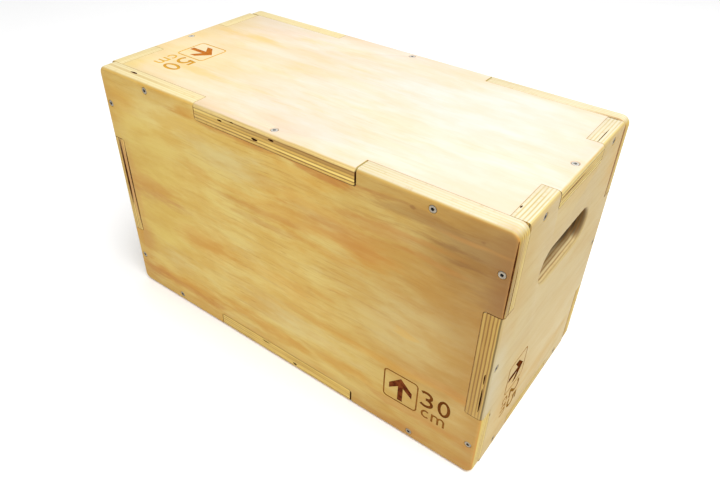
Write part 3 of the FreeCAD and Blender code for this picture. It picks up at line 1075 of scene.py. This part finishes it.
# Stains of the faces that the photograph shows, laid on in this order: tone, then for each stain the middle
# and half size in millimetres along and across the grain, and the strength
FRONT_STAINS = (
    (YELLOW, (-200, 210, 170, 130, 0.5)),
    (HONEY, (-205, 145, 100, 130, 0.9)),
    # Partly wood tone, partly painted shade: the broad brown stain darkens the right of the front
    (BROWN, (330, 170, 280, 330, 0.95)),
    (STRAW, (-160, 275, 70, 26, 0.7)),
    (GOLD, (-236, 130, 24, 120, 0.4), (-30, 14, 240, 26, 0.25)),
    (PALE, (-65, 250, 75, 22, 0.5), (10, 75, 85, 24, 0.5), (165, 150, 75, 50, 0.4),
     (225, 68, 35, 35, 0.4), (-170, 70, 45, 20, 0.4)),
    (GOLD, (-172, 31, 105, 14, 0.9)),
    (RUSSET, (-160, 27, 80, 7, 0.5)),
    (GOLD, (-20, 41, 95, 10, 0.65), (90, 50, 65, 9, 0.5)),
    (RUSSET, (185, 41, 75, 8, 0.5)),
    (GOLD, (110, 95, 100, 6, 0.5)),
    (RUSSET, (205, 102, 55, 8, 0.45)),
    (BROWN, (228, 185, 40, 42, 0.55)),
    (GOLD, (-115, 122, 60, 18, 0.8), (-190, 166, 65, 18, 0.8)),
    (RUSSET, (-165, 157, 70, 8, 0.3)),
    (GOLD, (160, 145, 14, 7, 0.5), (10, 217, 70, 19, 0.7), (102, 218, 52, 17, 0.75),
     (50, 240, 65, 9, 0.5)),
    (RUSSET, (80, 226, 80, 24, 0.4)),
    (GOLD, (-105, 215, 28, 9, 0.55), (60, 195, 50, 10, 0.4), (-225, 268, 40, 14, 0.45),
     (-227, 150, 8, 75, 0.6)),
    (RUSSET, (-228, 26, 35, 18, 0.6), (-228, 75, 22, 35, 0.35), (-205, 146, 32, 10, 0.35),
     (-145, 154, 30, 8, 0.35), (-100, 31, 22, 10, 0.45), (-10, 193, 60, 6, 0.45),
     (120, 250, 45, 12, 0.4), (105, 218, 45, 10, 0.4), (70, 231, 55, 6, 0.4), (-30, 207, 85, 6, 0.35),
     # Painted shadow: the last three russet stains on the next line run under the tab of the top panel
     (190, 37, 70, 5, 0.3), (0, 282, 115, 5, 0.65), (60, 279, 55, 6, 0.9), (-30, 280, 60, 4, 0.4)),
    (UMBER, (240, 265, 80, 55, 0.6), (180, 277, 75, 8, 0.35), (256, 245, 30, 75, 1.0)),
    (RUSSET, (170, 6, 75, 13, 0.6)),
    (GOLD, (-112, 285, 17, 9, 0.7)),
    (UMBER, (200, 262, 50, 3, 0.5), (225, 250, 35, 3, 0.5)),
    (RUSSET, (150, 255, 60, 3, 0.4), (215, 273, 40, 3, 0.5), (175, 240, 60, 3, 0.4)),
    (UMBER, (222, 278, 3, 2.2, 0.7), (157, 284, 2.2, 1.8, 0.6)),
)
TOP_STAINS = (
    (TOP_GOLD, (-280, -70, 250, 190, 0.55), (-245, 60, 50, 90, 0.4)),
    (LIT_TOP_VENEER[1], (-215, 38, 42, 10, 0.8), (-172, 44, 24, 10, 0.6), (-120, 78, 28, 10, 0.5),
     (-145, -65, 36, 10, 0.6), (-88, -65, 40, 9, 0.25), (-60, 85, 55, 13, 0.25)),
    (TOP_GOLD, (-228, -92, 20, 28, 0.7)),
    # Painted light: the pink stain whitens the front right of the top
    (PINK_HIGHLIGHT, (190, -85, 80, 45, 0.85)),
    (CREAM, (150, 40, 170, 110, 0.6)),
    (IVORY, (-150, 108, 110, 26, 0.7)),
    (CREAM, (-25, 105, 60, 26, 0.6), (25, -100, 50, 26, 0.6)),
)
END_STAINS = (
    (END_PALE, (60, 50, 150, 100, 0.9)),
    (END_VENEER[1], (-125, 240, 50, 90, 0.6)),
    (END_GREY, (-122, 140, 30, 80, 0.6)),
    (END_LIGHT, (-100, 25, 70, 60, 0.8)),
    (END_GOLD, (114, 262, 42, 50, 1.0), (20, 45, 80, 17, 0.75), (-57, 74, 36, 58, 0.8),
     (-60, 22, 55, 24, 0.6)),
    (END_VENEER[1], (40, 280, 70, 12, 0.35), (-40, 18, 90, 10, 0.4)),
)
# Brown stretches of core plies: ply, middle and half size as for the stains, strength and tone
TOP_PLIES = ((0, 0, 0, 900, 900, 0.4, PALE_EDGE_WARM), (1, 70, 0, 190, 900, 0.9, BROWN))
FRONT_PLIES = (
    (2, -200, 300, 80, 60, 0.4, BROWN),
    (0, 250, 252, 40, 75, 0.85, BROWN),
    (1, 250, 245, 40, 75, 0.8, BROWN),
    (2, 250, 268, 40, 50, 0.35, BROWN),
)
REAR_PLIES = ((3, 250, -265, 60, 60, 0.3, RUSSET), (4, 250, -268, 60, 62, 0.95, RUST))
LEFT_PLIES = (
    (1, -125, -150, 60, 90, 0.3, BROWN),
    (2, -125, -172, 60, 60, 1.0, UMBER),
    (3, -125, -165, 60, 75, 0.9, ROSE),
    (4, -125, -160, 60, 80, 0.7, ROSE),
)
BOTTOM_PLIES = ((1, 250, 0, 60, 200, 0.3, BROWN), (3, 250, 0, 60, 200, 0.3, BROWN))
SHEETS = {
    "front_panel": (-Y, X, FRONT_VENEER, 0.8, 3, FRONT_STAINS, FRONT_PLIES),
    "rear_panel": (Y, X, FRONT_VENEER, 1.0, 17, (), REAR_PLIES),
    "top_panel": (Z, X, LIT_TOP_VENEER, 0.45, 29, TOP_STAINS, TOP_PLIES),
    "bottom_panel": (-Z, X, FRONT_VENEER, 1.0, 41, (), BOTTOM_PLIES),
    "left_end_panel": (-X, Y, END_VENEER, 0.7, 53, (), LEFT_PLIES),
    "right_end_panel": (X, Y, END_VENEER, 0.5, 67, END_STAINS, ()),
}

# Burns of each mark, pale and deep tone: arrow, digits and fine lines
BURNS = {
    "front_panel": (
        ((0.19, 0.05, 0.014), (0.085, 0.018, 0.006)),
        ((0.17, 0.055, 0.011), (0.115, 0.033, 0.006)),
        ((0.28, 0.115, 0.022), (0.21, 0.078, 0.016)),
    ),
    "top_panel": (
        ((0.43, 0.15, 0.022), (0.36, 0.11, 0.016)),
        ((0.52, 0.285, 0.04), (0.46, 0.235, 0.03)),
        ((0.62, 0.38, 0.07), (0.56, 0.33, 0.05)),
    ),
    "right_end_panel": (
        ((0.11, 0.028, 0.006), (0.065, 0.014, 0.003)),
        ((0.24, 0.12, 0.022), (0.19, 0.09, 0.016)),
        ((0.33, 0.185, 0.045), (0.27, 0.145, 0.034)),
    ),
}
# Painted shade: the walls of core voids are near black
void_shade_wood = burn_and_shade_wood("core_void_shade", (0.15, 0.05, 0.015), (0.07, 0.021, 0.007))
# Painted shade in the slots at tab ends, with painted light close to the top
tab_end_shade_wood = burn_and_shade_wood("tab_end_slot_shade", (0.12, 0.04, 0.012), (0.05, 0.015, 0.005), LIT_TOP_GLUE)
# Scorch with painted seam shade on broken edges, with painted light close to the top
scorch_and_shade_wood = burn_and_shade_wood("cut_scorch_and_shade", (0.30, 0.14, 0.042), (0.16, 0.055, 0.016), LIT_TOP_GLUE)


def mark_burns(name):
    """Burnt woods of a panel's mark; a panel without a mark needs none."""
    kinds = ("arrow", "digits", "lines")
    tones = BURNS.get(name, ())
    made = [burn_and_shade_wood(name + "_burnt_" + kind, *tone) for kind, tone in zip(kinds, tones)]
    return made or [scorch_and_shade_wood] * len(kinds)


SCREW_NODES = sorted(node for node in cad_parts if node.endswith("_screws"))
SCREWS = [place for node in SCREW_NODES for place in screw_places(node)]
rng = random.Random(11)
for sheet_name, (*sheet, sheet_stains, sheet_plies) in SHEETS.items():
    sheet_wood = Plywood(sheet_name + "_plywood", *sheet).dressed(sheet_stains, sheet_plies)
    board(sheet_name, sheet_wood, mark_burns(sheet_name), rng)

screw_metals = (
    zinc("zinc_plate"),
    grime_and_shade("recess_grime_and_shade", (0.015, 0.015, 0.015), (0.045, 0.04, 0.035)),
    grime_and_shade("rim_grime_and_shade", (0.32, 0.285, 0.22), (0.44, 0.40, 0.32)),
)
for node_name in SCREW_NODES:
    screw_set(node_name, screw_metals, rng)

# Floor, light and camera
floor_mesh = bpy.data.meshes.new("floor")
floor_corners = [(sx * FLOOR_HALF, sy * FLOOR_HALF, cad_low.z - FLOOR_DROP) for sx, sy in SQUARE_SIGNS]
floor_mesh.from_pydata(floor_corners, [], [(0, 1, 2, 3)])
new_object("floor", floor_mesh, pale_floor("pale_floor"))

scene = bpy.context.scene
scene.view_settings.view_transform = "Standard"
scene.view_settings.look = "None"
world = bpy.data.worlds.new("studio")
world.use_nodes = True
background = world.node_tree.nodes["Background"]
background.inputs["Color"].default_value = (1.0, 1.0, 1.0, 1.0)
background.inputs["Strength"].default_value = WORLD_STRENGTH
scene.world = world

lamp = bpy.data.lights.new("overhead", "AREA")
lamp.size = LIGHT_SIZE
lamp.energy = LIGHT_POWER
light = new_object("overhead", lamp)
light.location = LIGHT_PLACE
light.rotation_euler = ((cad_low + cad_high) / 2 - LIGHT_PLACE).to_track_quat("-Z", "Y").to_euler()

camera_data = bpy.data.cameras.new("camera")
camera_data.lens = CAMERA_LENS_MM
camera_data.sensor_width = SENSOR_MM
camera = new_object("camera", camera_data)
camera.location = CAMERA_PLACE
camera.rotation_euler = CAMERA_TURN
scene.camera = camera
